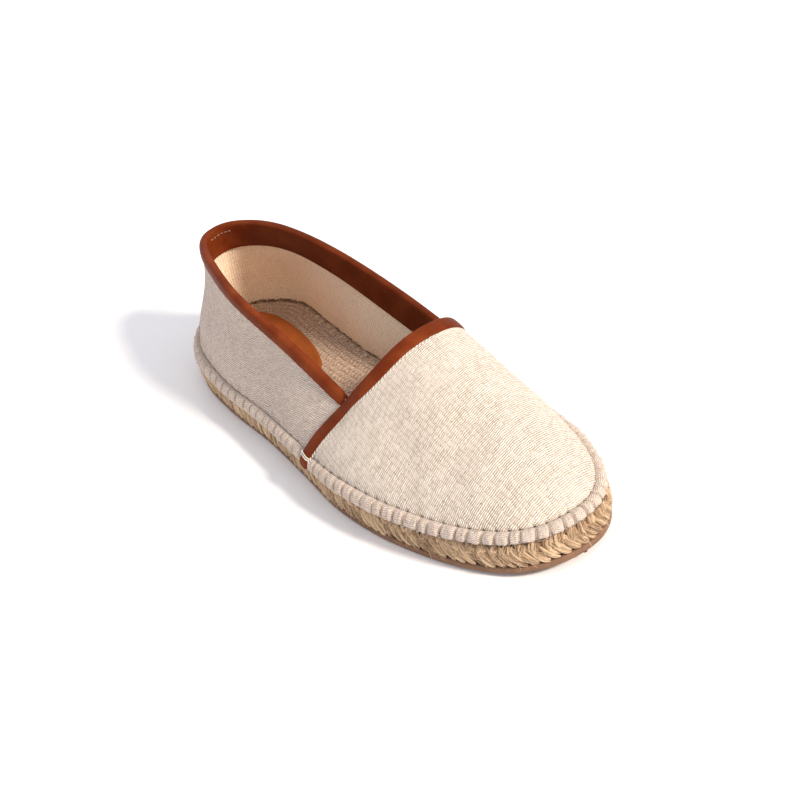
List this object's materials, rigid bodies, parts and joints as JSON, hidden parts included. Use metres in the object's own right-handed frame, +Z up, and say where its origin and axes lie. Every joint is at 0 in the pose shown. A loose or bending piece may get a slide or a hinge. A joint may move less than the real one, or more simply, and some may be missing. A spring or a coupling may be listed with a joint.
{
  "type": "espadrille",
  "caption": "Slip-on canvas espadrille for the right foot, with a plaited jute sole, leather-bound collar and vamp edge, and a thin rubber outsole.",
  "frame": {"origin": "on the floor, under the middle of the shoe's bounding box", "axes": "+Y points from the heel to the toe, +X to the outer (lateral) side of this right shoe, +Z up"},
  "size_m": [0.0968, 0.2716, 0.0646],
  "materials": {
    "canvas": "woven natural canvas",
    "leather": "smooth brown",
    "pad_leather": "matte tan",
    "jute": "plaited natural fibre",
    "rubber": "matte brown"
  },
  "bodies": {
    "root": {"outsole": "rubber", "jute_sole": "jute", "upper": "canvas", "collar_binding": "leather", "vamp_binding": "leather", "heel_pad": "pad_leather"}
  },
  "joints": []
}
